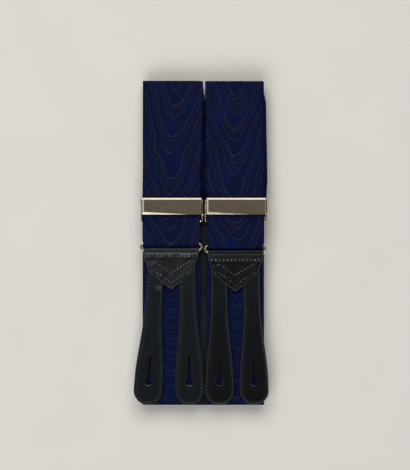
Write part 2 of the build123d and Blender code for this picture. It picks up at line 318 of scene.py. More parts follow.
def stitches(name, places, material, length, width, height):
    """Raised thread stitches. Each place is (x, y, z, heading in degrees), in millimetres."""
    base, faces = ball()
    base = base * (length, width, height)
    points, all_faces = [], []
    for x, y, z, heading in places:
        a = radians(heading)
        turned_x = base[:, 0] * cos(a) - base[:, 1] * sin(a)
        turned_y = base[:, 0] * sin(a) + base[:, 1] * cos(a)
        turned = np.stack([turned_x, turned_y, base[:, 2]], axis=1)
        start = len(points) * len(base)
        points.append(turned + (x, y, z))
        all_faces += [[start + k for k in f] for f in faces]
    return add_mesh(name, np.concatenate(points), all_faces, material)


# ---------- materials
OTHER_STRAP = 1000.0  # how far across the right strap's texture lies from the left one's
LOOP_PITCH = 24.0  # along the strap, from one nested loop of the figure to the next
LOOP_TIP = 7.0  # radius of a loop's tip
RIB_PITCH = 0.62
CORD_PITCH, WEFT_PITCH = 0.9, 0.55  # of the elastic
BLACK = (0, 0, 0, 1)
EDGE_CREASE = 0.95  # from a leather edge
SEAM_INSET = 1.75  # from a tab's edge to its stitches


class Paint:
    """A node material with short calls for the nodes this scene uses."""

    def __init__(self, name, **shader):
        self.material = bpy.data.materials.new(name)
        self.material.use_nodes = True
        self.tree = self.material.node_tree
        self.shader = self.tree.nodes["Principled BSDF"]
        for socket, value in shader.items():
            self.shader.inputs[socket.replace("_", " ")].default_value = value

    def feed(self, socket, value):
        if isinstance(value, bpy.types.NodeSocket):
            self.tree.links.new(value, socket)
        else:
            socket.default_value = value

    def node(self, kind, values=None, output=0, **settings):
        """A new node's output. values maps the names or numbers of its inputs to what they get."""
        made = self.tree.nodes.new(kind)
        for key, value in settings.items():
            setattr(made, key, value)
        for key, value in (values or {}).items():
            self.feed(made.inputs[key], value)
        return made.outputs[output]

    def math(self, operation, a, b=0.0, clamp=False):
        return self.node("ShaderNodeMath", {0: a, 1: b}, operation=operation, use_clamp=clamp)

    def plus(self, a, b, clamp=False):
        return self.math("ADD", a, b, clamp)

    def minus(self, a, b):
        return self.math("SUBTRACT", a, b)

    def times(self, a, b):
        return self.math("MULTIPLY", a, b)

    def step(self, value, low, high):
        values = {0: value, 1: low, 2: high, 3: 0.0, 4: 1.0}
        return self.node("ShaderNodeMapRange", values, interpolation_type="SMOOTHSTEP")

    def join(self, x, y, z=0.0):
        return self.node("ShaderNodeCombineXYZ", {0: x, 1: y, 2: z})

    def split(self, vector):
        return self.node("ShaderNodeSeparateXYZ", {0: vector}, slice(None))

    def noise(self, vector, scale, detail=2.0, roughness=0.5):
        values = {"Vector": vector, "Scale": scale, "Detail": detail, "Roughness": roughness}
        return self.node("ShaderNodeTexNoise", values, "Fac")

    def cells(self, vector, scale):
        values = {"Vector": vector, "Scale": scale}
        return self.node("ShaderNodeTexVoronoi", values, "Distance", feature="DISTANCE_TO_EDGE")

    def mix(self, share, a, b):
        return self.node("ShaderNodeMix", {0: share, 6: a, 7: b}, 2, data_type="RGBA")

    def place(self, layer="flat"):
        """Both values of a UV map, in millimetres."""
        parts = self.split(self.node("ShaderNodeUVMap", uv_map=layer))
        return [self.times(out, 1 / UV_SCALE) for out in parts[:2]]

    def solid(self):
        """Place in the piece's own frame, in millimetres."""
        place = self.node("ShaderNodeTexCoord", output="Object")
        values = {0: place, "Scale": 1 / MM}
        return self.node("ShaderNodeVectorMath", values, operation="SCALE")

    def bump(self, height, distance, strength=1.0):
        """Height is in units of the distance, which is in millimetres."""
        values = {"Height": height, "Distance": distance * MM, "Strength": strength}
        self.feed(self.shader.inputs["Normal"], self.node("ShaderNodeBump", values))

    def colour(self, value):
        self.feed(self.shader.inputs["Base Color"], value)

    def roughness(self, value):
        self.feed(self.shader.inputs["Roughness"], value)


def moire_ribbon():
    """Navy ribbed ribbon with watered contour lines, nested and pointing down the strap."""
    m = Paint("moire_ribbon", Roughness=0.6, Specular_IOR_Level=0.04)
    x, v = m.place()
    other = m.math("GREATER_THAN", x, OTHER_STRAP / 2)
    x = m.minus(x, m.times(other, OTHER_STRAP))
    figure = m.times(other, 37.0)  # each strap takes its noise from its own place

    # a phase that grows down the strap and out from its middle line, which drifts
    drift = m.minus(m.noise(m.join(figure, v, 4.0), 0.016, 1.0), 0.5)
    xc = m.plus(x, m.times(drift, 15.0))
    bow = m.math("SQRT", m.plus(m.times(xc, xc), LOOP_TIP * LOOP_TIP))
    bow = m.minus(bow, LOOP_TIP)
    lower = m.step(v, 118.0, 136.0)  # 1 below the adjuster, where the loops lie closer
    steep = m.plus(m.times(lower, 0.03), 0.155)
    tight = m.times(m.math("MAXIMUM", m.minus(v, 126.0), 0.0), 0.055)
    phase = m.plus(m.times(v, 1 / LOOP_PITCH), m.times(bow, steep))
    phase = m.plus(phase, tight)
    slow = m.noise(m.join(x, v, figure), 0.035, 1.0)
    wander = m.noise(m.join(m.times(x, 0.8), v, m.plus(figure, 9.0)), 0.2, 1.5)
    phase = m.plus(phase, m.times(slow, 1.5))
    phase = m.plus(phase, m.times(wander, 0.15))
    phase = m.plus(phase, m.times(other, 0.4))

    # thin pale lines at three places in each loop: where, half width, strength
    wave = m.math("FRACT", phase)
    line = 0.0
    for centre, half, weight in ((0.5, 0.022, 1.0), (0.64, 0.018, 0.55), (0.95, 0.018, 0.8)):
        off = m.math("ABSOLUTE", m.minus(wave, centre))
        crest = m.minus(1.0, m.step(off, half * 0.3, half * 1.6))
        line = m.math("MAXIMUM", line, m.times(crest, weight))

    # zones of deep blue and brown, broken up by clouds, speckle and the ribs
    cloud = m.noise(m.join(x, v, m.plus(figure, 20.0)), 0.075, 3.0)
    haze = m.noise(m.join(x, v, m.plus(figure, 50.0)), 0.12, 4.0, 0.6)
    swing = m.math("SINE", m.times(phase, tau))
    zone = m.step(m.plus(swing, m.times(haze, 3.8)), 0.0, 3.9)
    zone = m.math("MAXIMUM", zone, m.times(lower, 0.72))
    mottle = m.noise(m.join(x, m.times(v, 2.2), figure), 0.55, 4.0, 0.7)
    rib = m.math("SINE", m.times(v, tau / RIB_PITCH))
    yarn = m.noise(m.join(m.times(x, 0.55), v, 2.0), 2.6, 3.0, 0.7)
    deep = (0.0022, 0.0060, 0.0370, 1)
    brown = (0.0066, 0.0068, 0.0225, 1)
    bright = (0.0018, 0.0100, 0.0680, 1)
    pale = (0.0300, 0.0400, 0.0920, 1)
    base = m.mix(m.plus(m.times(zone, 0.75), 0.2), brown, deep)
    glow = m.times(m.step(cloud, 0.45, 0.75), m.plus(0.2, zone))
    base = m.mix(m.times(glow, 0.55), base, bright)
    grain = m.times(m.step(yarn, 0.36, 0.64), 0.85)
    gain = m.times(line, m.plus(0.12, grain))
    base = m.mix(m.times(gain, 0.9), base, pale)
    dark = m.mix(0.7, base, BLACK)
    speckle = m.times(m.minus(mottle, 0.5), 3.4)
    shade = m.plus(m.times(rib, 0.10), speckle)
    base = m.mix(m.plus(shade, 0.68, clamp=True), dark, base)
    m.colour(base)
    m.roughness(m.minus(0.62, m.times(gain, 0.22)))
    height = m.plus(m.times(rib, 0.5), m.times(yarn, 0.7))
    m.bump(height, 0.05, 0.8)
    return m.material


def elastic_webbing():
    """Black-navy woven elastic: fine cords along the length and a plain selvedge."""
    m = Paint("elastic_webbing", Roughness=0.72, Specular_IOR_Level=0.2)
    x, v = m.place()
    cord = m.math("ABSOLUTE", m.math("SINE", m.times(x, pi / CORD_PITCH)))
    weft = m.math("SINE", m.times(v, tau / WEFT_PITCH))
    speck = m.noise(m.join(x, v), 1.9, 3.0)
    base = m.mix(m.times(cord, 0.8), (0.004, 0.005, 0.009, 1), (0.013, 0.015, 0.028, 1))
    base = m.mix(m.times(speck, 0.35), base, (0.02, 0.022, 0.035, 1))
    m.colour(base)
    height = m.plus(cord, m.times(weft, 0.25))
    m.bump(height, 0.12, 0.9)
    return m.material


def black_leather(
    name, dark, light, edge_paleness_and_highlight, crease_light=0.04, seam_highlight=0.0, shine=0.26, crinkle=0.03
):
    """Near-black calf with a fine grain, soft wrinkles, a polish and a cut edge painted paler, partly as the cut
    edge's own paler colour and partly as a painted highlight of the rounded edge.

    The lights say how much paler the cut edge, the edge crease and the seam are. The cut edge's paleness is partly
    a painted highlight, and the seam's is a painted highlight of the leather ridges beside the stitches. crinkle
    is the height of the grain.
    """
    coat = {"Coat_Weight": shine / 4, "Coat_Roughness": 0.18}
    m = Paint(name, Roughness=0.3, Specular_IOR_Level=shine, **coat)
    x, v = m.place()
    edge, _ = m.place("edge")
    place = m.join(x, v)
    grain = m.step(m.cells(place, 1.5), 0.0, 0.2)
    pores = m.noise(place, 3.2, 4.0, 0.6)
    wrinkle = m.noise(m.join(m.times(x, 0.45), v, 5.0), 0.42, 3.0, 0.6)
    patchy = m.noise(place, 0.09, 3.0)
    base = m.mix(patchy, (*dark, 1), (*light, 1))
    base = m.mix(m.times(grain, 0.4), m.mix(0.6, base, BLACK), base)
    # paler cut edge: partly the leather edge's own paler colour, partly a painted highlight where the rounded edge
    # catches the light
    pale_edge_and_highlight = m.times(pores, m.minus(1.0, m.step(edge, 0.1, 0.5)))
    base = m.mix(m.times(pale_edge_and_highlight, edge_paleness_and_highlight), base, (0.105, 0.115, 0.120, 1))
    near = m.math("ABSOLUTE", m.minus(edge, EDGE_CREASE))
    creased = m.minus(1.0, m.step(near, 0.06, 0.28))
    base = m.mix(m.times(creased, crease_light), base, (0.075, 0.088, 0.088, 1))
    # painted highlight: a paler band along the stitch line, standing in for the leather ridges beside the stitches
    # catching the light
    beside = m.math("ABSOLUTE", m.minus(edge, SEAM_INSET))
    painted_seam_highlight = m.minus(1.0, m.step(beside, 0.35, 0.75))
    base = m.mix(m.times(painted_seam_highlight, seam_highlight), base, (0.042, 0.052, 0.056, 1))
    m.colour(base)
    m.roughness(m.plus(0.24, m.times(pores, 0.22)))
    height = m.plus(m.times(grain, 0.6), pores)
    height = m.plus(height, m.times(wrinkle, 2.2))
    m.bump(height, crinkle, 0.75)
    return m.material


def thread(name, dark, light, shine):
    """Waxed thread with a twist."""
    m = Paint(name, Roughness=0.4, Specular_IOR_Level=shine)
    place = m.solid()
    twist = m.step(m.noise(place, 0.9, 2.0), 0.35, 0.65)
    m.colour(m.mix(twist, (*dark, 1), (*light, 1)))
    m.bump(m.noise(place, 5.0, 2.0), 0.08, 0.6)
    return m.material


def gilt(name, polish):
    """Polished pale-gold plate with faint hairlines, slanting rubs and patches of tarnish."""
    m = Paint(name, Metallic=1.0, Roughness=polish)
    place = m.solid()
    patchy = m.noise(place, 0.16, 3.0)
    across, along, up = m.split(place)
    hair = m.noise(m.join(m.times(across, 0.12), m.times(along, 3.5), up), 1.6, 4.0, 0.6)
    slant = m.plus(m.times(across, 0.35), along)
    streak = m.noise(m.join(m.times(across, 0.06), slant, 3.0), 0.9, 4.0, 0.65)
    rub = m.times(m.step(streak, 0.35, 0.7), 0.4)
    tone = m.mix(patchy, (0.86, 0.75, 0.60, 1), (0.95, 0.86, 0.74, 1))
    m.colour(m.mix(rub, tone, (0.52, 0.42, 0.31, 1)))
    m.roughness(m.plus(polish, m.times(hair, 0.13)))
    m.bump(m.plus(hair, m.times(patchy, 3.0)), 0.02, 0.4)
    return m.material


RIBBON = moire_ribbon()
ELASTIC = elastic_webbing()
CALF_LEFT = (0.0042, 0.0066, 0.0102), (0.0082, 0.0116, 0.0165)
CALF_RIGHT = (0.0016, 0.0028, 0.0048), (0.0036, 0.0056, 0.0085)
CALF_REAR = (0.0038, 0.0052, 0.0072), (0.0074, 0.0098, 0.0125)
LEATHER = {
    "left": black_leather("calf_left", *CALF_LEFT, 0.4, seam_highlight=0.34),
    "right": black_leather("calf_right", *CALF_RIGHT, 0.4, crease_light=0.34, seam_highlight=0.16),
    "rear": black_leather("calf_rear", *CALF_REAR, 0.4, seam_highlight=0.1),
}
FACING_LEATHER = {
    "left": black_leather("facing_left", *CALF_LEFT, 1.0, shine=0.34, crinkle=0.1),
    "right": black_leather("facing_right", *CALF_RIGHT, 1.0, shine=0.2, crinkle=0.09),
    "rear": black_leather("facing_rear", *CALF_REAR, 0.6),
}
TAB_THREAD = thread("tab_thread", (0.0006, 0.0007, 0.0008), (0.0020, 0.0022, 0.0024), 0.04)
# the V-row thread is painted pale grey: a painted highlight for the light dots along the facing's V rows
FACING_THREAD = thread("facing_thread", (0.012, 0.016, 0.018), (0.16, 0.18, 0.19), 0.5)
# mid-grey row thread: a painted highlight for the light dashes where the leather puckers between the stitches
ROW_THREAD = thread("row_thread", (0.004, 0.006, 0.008), (0.10, 0.12, 0.14), 0.5)
HOLE_EDGE = thread("burnished_hole_edge", (0.016, 0.019, 0.021), (0.055, 0.062, 0.064), 0.9)
GILT = gilt("polished_gilt", 0.11)
WIRE = gilt("gilt_wire", 0.2)


# ---------- straps
RIBBON_THICK = 0.9
STRAP_WIDTH = 38.0
STRAP_LIE = {
    # seed of its ripples, how far its top fold leans across, how far its middle panel shows
    "left": (0.4, 2.0, 1.3),
    "right": (2.3, -1.0, 2.3),
}
SEAM_Y = 88.0  # where the top fold's length of ribbon meets the upper panel's
PLY_REST = 3.0  # from the ring's bar to where the front ply's length ends
SLIDE_REACH = 58.0  # the upper panel's span lies this far either side of the front ply's end
SAG, WAVE = 0.55, 0.25  # of the upper panel above the adjuster
GATHER, GATHER_REACH = 2.0, 5.5  # how much narrower the ribbon is round the ring, and how far


def ripple(x, y, seed):
    """Slow uneven lie of a ribbon, from about -1 to 1."""
    return (
        np.sin(y / 13.0 + seed) * np.cos(x / 11.0 + 2 * seed)
        + 0.6 * np.sin(y / 7.3 + 0.12 * x + 3.1 * seed)
        + 0.4 * np.sin(x / 5.0 - y / 21.0 + seed)
    ) / 2.0


def cloth(path):
    """Works out the flat length of a folded length of ribbon or elastic; nothing uses it."""
    flat_length = path.rows()[2][-1]


def fold_span(x, y, low_z, high_z, thickness=RIBBON_THICK):
    """Where a fold's bend starts and ends: just clear of the two flat panels that it joins."""
    clear = thickness / 2 + 0.03
    return Vector((x, y, low_z + clear)) * MM, Vector((x, y, high_z - clear)) * MM


def front_strap(side):
    """All of one shoulder strap's ribbon, in five lengths that meet where nothing bends."""
    x0 = middle(f"{side}_strap_upper").x
    seed, lean, peek = STRAP_LIE[side]
    figure = 0.0 if side == "left" else OTHER_STRAP
    fold_1, fold_2, fold_3 = [pivot(f"{side}_{n}_fold") for n in ("lower", "middle", "upper")]
    upper_z = middle(f"{side}_strap_front_ply").z
    middle_z = extent(f"{side}_strap_middle")[1].z - RIBBON_THICK / 2
    r_upper = (upper_z - middle_z) / 2
    r_middle = middle_z - fold_2.z
    lower_z = fold_2.z - r_middle
    r_lower = lower_z - fold_1.z
    back_z = fold_1.z - r_lower
    y_upper = fold_3.y - pi / 2 * r_upper
    y_middle = fold_2.y + pi / 2 * r_middle
    y_lower = fold_1.y - pi / 2 * r_lower

    def ribbon(label, path, nodes, bodies, span, width=STRAP_WIDTH, centre=x0, **look):
        """One length of ribbon. It stands for the nodes, which it hides. span is not used."""
        look.update(centre=centre, texture_x=figure)
        piece = strip(f"{side}_ribbon_{label}", path, width, RIBBON_THICK, RIBBON, **look)
        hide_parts(*[f"{side}_strap_{node}" for node in nodes])
        bodies = [body if body == "back" else f"{side}_{body}" for body in bodies]
        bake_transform(piece)
        cloth(path)

    def lean_at(y):
        return x0 + lean * float(smooth_step(30.0, y_upper, y))

    def peek_at(y):
        """The middle panel's line, which wanders out past the upper panel's right edge."""
        out = smooth_step(6.0, 46.0, y) * smooth_step(y_upper + 1.0, y_upper - 13.0, y)
        return lean_at(y) + peek * float(out)

    # back panel, its fold, and the upper half of the lower panel
    low, high = extent(f"{side}_strap_back")
    inner_x = (high.x - STRAP_WIDTH / 2) if side == "left" else (low.x + STRAP_WIDTH / 2)
    run = y_lower - low.y
    path = Path(low.y, back_z).line(y_lower, back_z)
    path.arc(y_lower, fold_1.z, r_lower, -90, 180)
    path.line(0.0, lower_z)
    apex = run + pi / 2 * r_lower
    ribbon(
        "back",
        path,
        ("back",),
        ("back", "lower"),
        fold_span(x0, y_lower, back_z, lower_z),
        texture=lambda d: np.abs(d - apex),
        centre=lambda d: x0 + (inner_x - x0) * max(0.0, 1 - d / run),
    )

    # lower half of the lower panel, its fold, and the lower half of the middle panel
    top_v = y_lower + pi / 2 * r_lower
    path = Path(0.0, lower_z).line(y_middle, lower_z)
    path.arc(y_middle, fold_2.z, r_middle, 270, -180)
    path.line(0.0, middle_z)
    apex_low = -y_middle + pi / 2 * r_middle

    def middle_lie(x, y, s, edge):
        calm = smooth_step(y_middle + 1, y_middle + 14, y) * smooth_step(2, -10, y)
        above = (s > apex_low).astype(float)
        rise = above * calm * 0.16 * ripple(x, y, seed)
        return -rise, rise

    ribbon(
        "lower",
        path,
        ("lower", "middle"),
        ("lower", "middle"),
        fold_span(x0, y_middle, lower_z, middle_z),
        texture=lambda d: top_v + apex_low - np.abs(d - apex_low),
        relief=middle_lie,
    )

    # upper half of the middle panel, the top fold, and the top of the upper panel
    path = Path(0.0, middle_z).line(y_upper, middle_z)
    path.arc(y_upper, fold_3.z, r_upper, -90, 180, 20)
    path.line(SEAM_Y, upper_z)
    apex_top = y_upper + pi / 2 * r_upper
    fold_end = y_upper + pi * r_upper

    def fold_y(d):
        return min(d, y_upper) if d < fold_end else fold_end - d + y_upper

    ribbon(
        "top_fold",
        path,
        ("middle_turn",),
        ("middle", "upper"),
        fold_span(x0, y_upper, middle_z, upper_z),
        texture=lambda d: np.abs(d - apex_top),
        centre=lambda d: peek_at(d) if d < y_upper else lean_at(fold_y(d)),
    )

    # the upper panel, through the adjuster, down to the ring
    bar = pivot(f"{side}_ring_swing")
    ply_end = bar.y + PLY_REST
    v_start = (y_upper - SEAM_Y) + pi / 2 * r_upper
    at = middle(f"{side}_adjuster_lever").y
    path = Path(SEAM_Y, upper_z).line(ply_end, upper_z)

    def upper_line(d):
        waver = 0.15 * sin(pi * min(1, d / 50.0)) * sin(d / 9.0 + seed)
        return lean_at(SEAM_Y - d) + waver

    def upper_lie(x, y, s, edge):
        above = smooth_step(at + 8, at + 26, y) * smooth_step(SEAM_Y, SEAM_Y - 22, y)
        below = smooth_step(at - 8, at - 13, y) * smooth_step(ply_end, ply_end + 6, y)
        sag = above * (WAVE * ripple(x, y, seed) - SAG) + below * 0.12 * ripple(x, y, 2 * seed)
        return -sag, sag

    ribbon(
        "upper",
        path,
        ("upper", "front_ply"),
        ("upper", "adjuster"),
        [Vector((x0, ply_end + d, upper_z)) * MM for d in (SLIDE_REACH, -SLIDE_REACH)],
        texture=lambda d: v_start + d,
        centre=upper_line,
        relief=upper_lie,
    )

    # round the ring, back behind, and round the adjuster's bottom bar
    r_ring = upper_z - bar.z
    sewn_low, sewn_high = extent(f"{side}_strap_sewn_end")
    wrap_z = (sewn_low.z + sewn_high.z) / 2
    r_wrap = (sewn_high.z - sewn_low.z - RIBBON_THICK) / 2
    wrap_y = sewn_high.y - r_wrap - RIBBON_THICK / 2
    return_z = bar.z - r_ring
    path = Path(ply_end, upper_z, 1.0).line(bar.y, upper_z)
    path.arc(bar.y, bar.z, r_ring, 90, 180, 18)
    path.line(wrap_y, return_z)
    path.arc(wrap_y, wrap_z, r_wrap, -90, 180, 14)
    path.line(sewn_low.y + 0.3, wrap_z + r_wrap)

    def turn_width(d):
        near_ring = max(0.0, 1 - abs(d - PLY_REST - pi / 2 * r_ring) / GATHER_REACH)
        return STRAP_WIDTH - GATHER * near_ring * near_ring * (3 - 2 * near_ring)

    ribbon(
        "turn",
        path,
        ("bight", "return", "sewn_end"),
        ("adjuster", "bight"),
        [Vector((x0, y, return_z)) * MM for y in (sewn_low.y + 0.2, ply_end + 0.4)],
        texture=lambda d: v_start + (SEAM_Y - ply_end) + d,
        width=turn_width,
    )


for side in SIDES:
    front_strap(side)


# ---------- leather ends
PLY = 1.05
ROLL_RADIUS = 1.05  # inside the facing's roll round the ring's bar
LAP = 6.0  # of the facing behind the roll
TAB_THICK = 2.0
NECK = 5.4  # half widths of a tab, and of its round tip
TIP = 9.5
TAB_OFFSET = 10.7  # across, from an end's middle line to where a free tab starts
TAB_START = -22.5  # up from the roll
TAB_STITCH = (1.3, 0.95, 0.34)  # length, width, height
ROW_STITCH = (2.3, 0.95, 0.5)
V_STITCH = (0.95, 0.72, 0.4)
PATCH_STITCH = (1.6, 0.5, 0.3)
ROOT_LENGTH = 15.9  # of a tab, sewn in behind the facing
HOLE_RADIUS = 2.35
HOLE_FROM_TIP = 15.0
SLIT_END = 17.3  # from the hole's centre
REAR_REACH, REAR_SPLAY = 101.6, 1.8
END_SEED = {"left": 0.7, "right": 1.9, "rear": 3.1}
BAND_RISE = {"left": 0.85, "right": 0.35, "rear": 0.5}  # of the facing above its stitch row
LUMPS = {"left": 0.2, "right": 0.12, "rear": 0.1}
CREASE_DEPTH = {"left": 0.05, "right": 0.18, "rear": 0.05}
SLIT_HALF = {"left": 0.78, "right": 0.24, "rear": 0.5}
ROW_Y = {"left": -3.8, "right": -5.2, "rear": -4.2}

# half width and height below the roll, then the facing's two lines of stitches
FACING = [(18.4, 0.0), (18.2, -2.5), (17.0, -7.2), (15.6, -11.2), (13.9, -15.2), (0.0, -25.8)]
BACKING = [(16.9, -6.3), (13.2, -15.0), (0.0, -25.0)]
INNER_V = [(-15.0, -8.8), (-10.2, -7.9), (-7.8, -9.9), (0, -15.2), (6.8, -10.6), (14.8, -6.2)]
OUTER_V = [(-14.2, -12.9), (-11.2, -13.8), (-6.2, -16.6), (0, -21.6), (6.6, -17.2), (14.2, -12.6)]


def tab_half(y, length):
    """Half width of a tab at y, measured down from where the free tab starts."""
    round_y = TIP - length
    if y < round_y:
        return sqrt(max(0.0, TIP**2 - (round_y - y) ** 2))
    knots_y = np.array([round_y, -57.0, -48.0, -39.0, -28.0, -18.0, -8.0, 0.0])
    knots_w = np.array([TIP, 9.25, 8.45, 7.4, 6.3, 5.6, NECK, NECK])
    a = np.interp(y, knots_y, knots_w)
    b = np.interp(y - 3.0, knots_y, knots_w)
    c = np.interp(min(0.0, y + 3.0), knots_y, knots_w)
    return float((a + b + c) / 3) if y > round_y + 3 else float(a)


def keyhole_outline(length, slit):
    """Outline of a keyhole buttonhole in a tab's frame: a round hole that narrows into a slit."""
    hole_y = HOLE_FROM_TIP - length
    top_y = hole_y + SLIT_END
    points = []
    for k in range(25):
        a = radians(-222 + 264 * k / 24)
        points.append((HOLE_RADIUS * cos(a), hole_y + HOLE_RADIUS * sin(a)))
    neck_y = hole_y + HOLE_RADIUS * 1.95
    points += [(slit, neck_y), (slit, top_y - slit), (slit * 0.7, top_y - slit * 0.3), (0, top_y)]
    points += [(-slit * 0.7, top_y - slit * 0.3), (-slit, top_y - slit), (-slit, neck_y)]
    return points


def keyhole_cutter(points):
    """A prism of the outline, which passes right through a tab."""
    work = bmesh.new()
    low = [work.verts.new((x, y, -4)) for x, y in points]
    high = [work.verts.new((x, y, 4)) for x, y in points]
    work.faces.new(low[::-1])
    work.faces.new(high)
    for k in range(len(points)):
        n = (k + 1) % len(points)
        work.faces.new((low[k], low[n], high[n], high[k]))
    bmesh.ops.recalc_face_normals(work, faces=work.faces)
    mesh = bpy.data.meshes.new("cutter")
    work.to_mesh(mesh)
    work.free()
    mesh.transform(Matrix.Scale(MM, 4))
    return new_object("cutter", mesh)


def wire_loop(name, points, radius, z, material, ring=8):
    """Closed tube along a flat loop of points at one height."""
    p = np.array(points)
    ahead = np.roll(p, -1, axis=0) - np.roll(p, 1, axis=0)
    ahead /= np.linalg.norm(ahead, axis=1)[:, None]
    outward = np.stack([ahead[:, 1], -ahead[:, 0]], axis=1)
    verts, faces = [], []
    for i in range(len(p)):
        for k in range(ring):
            a = 2 * pi * k / ring
            flat = p[i] + outward[i] * radius * cos(a)
            verts.append((flat[0], flat[1], z + radius * sin(a)))
    for i in range(len(p)):
        for k in range(ring):
            n, m = (i + 1) % len(p), (k + 1) % ring
            faces.append((i * ring + k, n * ring + k, n * ring + m, i * ring + m))
    return add_mesh(name, verts, faces, material)


def cut(piece, cutter):
    """Takes the cutter out of the piece and removes the cutter."""
    modifier = piece.modifiers.new("cut", "BOOLEAN")
    modifier.object = cutter
    modifier.operation = "DIFFERENCE"
    modifier.solver = "EXACT"
    mesh = apply_modifiers(piece)
    bpy.data.objects.remove(cutter)
    mark_edges(mesh)


def leather_tab(name, length, slit, creased, seed, leather, buckle):
    """One lined tab in its own frame, with edge crease, stitch channel and keyhole.

    buckle is how far its face gathers just below the facing.
    """
    steps = (0, 0.07, 0.18, 0.34, 0.55, 0.8, 1.0, 1.2, 1.45, 1.7, 1.95, 2.25, 2.7)
    path = Path(ROOT_LENGTH, 0.0, 1.6).line(TIP - length, 0.0)
    tip_rows = [TIP * sin(radians(a)) for a in range(8, 70, 8)]
    tip_rows += [TIP - d for d in (1.6, 1.3, 1.0, 0.75, 0.5, 0.3, 0.15, 0.06, 0.012)]
    tip_rows += [TIP - d for d in (0.75, 0.5, 0.3, 0.15, 0.06)]
    path.line(-length, 0.0, at=sorted(set(tip_rows)))
    total = ROOT_LENGTH + length
    samples = [total * k / 300 for k in range(296)]
    samples += [total - TIP + TIP * sin(radians(a)) for a in range(0, 91, 3)]
    samples.sort()
    right = [(tab_half(ROOT_LENGTH - s, length), s) for s in samples]
    outline = [(-w, s) for w, s in right] + [(w, s) for w, s in right[::-1]]

    def relief(x, y, s, edge):
        free = smooth_step(ROOT_LENGTH - 3, ROOT_LENGTH + 8, s)
        channel = -0.16 * np.exp(-(((edge - SEAM_INSET) / 0.36) ** 2))
        crease = -creased * np.exp(-(((edge - EDGE_CREASE) / 0.16) ** 2))
        pillow = 0.12 * free * smooth_step(2.3, 4.5, edge)
        lie = 0.06 * free * ripple(x * 2.2, y * 1.6, seed)
        across, below = (x - 2.6) / 2.2, (s - ROOT_LENGTH - 4.0) / 1.6
        gather = 0.5 * buckle * np.exp(-(across**2) - below**2)
        return 0.4 * channel, channel + crease + pillow + lie + gather

    piece = strip(
        name,
        path,
        lambda s: 2 * max(0.02, tab_half(ROOT_LENGTH - s, length)),
        TAB_THICK,
        leather,
        edge_steps=steps,
        inner=7,
        rounding=0.5,
        outline=outline,
        relief=relief,
        texture_x=seed * 40,
    )
    cut(piece, keyhole_cutter(keyhole_outline(length, slit)))
    return piece


def hole_edge(name, length, full):
    """Burnished lip of a buttonhole: thick at the bottom, and thin or gone towards the slit."""
    hole_y = HOLE_FROM_TIP - length
    sweep = 150 if full else 78
    count, ring = 36, 8
    verts = []
    for i in range(count + 1):
        turn = -sweep + 2 * sweep * i / count
        a = radians(turn - 90)
        fade = cos(radians(90 * turn / sweep))
        radius = 0.05 + (0.10 if full else 0.22) * fade
        stretch = 1 + (0.5 * max(0.0, (abs(turn) - 100) / 50) ** 2 if full else 0)
        for k in range(ring):
            b = 2 * pi * k / ring
            r = HOLE_RADIUS * stretch + 0.12 + radius * cos(b)
            z = TAB_THICK / 2 + 0.05 + radius * sin(b)
            verts.append((r * cos(a), hole_y + r * sin(a), z))
    faces = tube_faces(count + 1, ring)
    faces.append(tuple(range(ring))[::-1])
    faces.append(tuple(count * ring + k for k in range(ring)))
    return add_mesh(name, verts, faces, HOLE_EDGE)


def stitch_line(points, pitch, inset=0.0):
    """Evenly spaced (x, y, heading) along a line of points."""
    p = np.array(points, float)
    along = distances(p)
    count = max(1, int((along[-1] - 2 * inset) / pitch))
    at = inset + (along[-1] - 2 * inset) * (np.arange(count) + 0.5) / count
    x, y = np.interp(at, along, p[:, 0]), np.interp(at, along, p[:, 1])
    ahead_x = np.interp(at + 0.05, along, p[:, 0]) - np.interp(at - 0.05, along, p[:, 0])
    ahead_y = np.interp(at + 0.05, along, p[:, 1]) - np.interp(at - 0.05, along, p[:, 1])
    return [(a, b, degrees(atan2(d, c))) for a, b, c, d in zip(x, y, ahead_x, ahead_y)]


def tab_seam(length):
    """The stitch line of a tab: down one side, round the tip and up the other."""
    step = 0.5
    ys = [step * k for k in range(int(ROOT_LENGTH / step), -int((length - TIP) / step) - 1, -1)]
    right = [(tab_half(y, length) - SEAM_INSET, y) for y in ys]
    radius = TIP - SEAM_INSET
    turns = [radians(a) for a in range(-5, -176, -5)]
    tip = [(radius * cos(a), TIP - length + radius * sin(a)) for a in turns]
    return right + tip + [(-x, y) for x, y in right[::-1]]


def outline_half(shape, y):
    """Half width at y of a shape given as (half width, y) from its top down."""
    ys = [-p[1] for p in shape]
    xs = [p[0] for p in shape]
    return float(np.interp(-y, ys, xs))


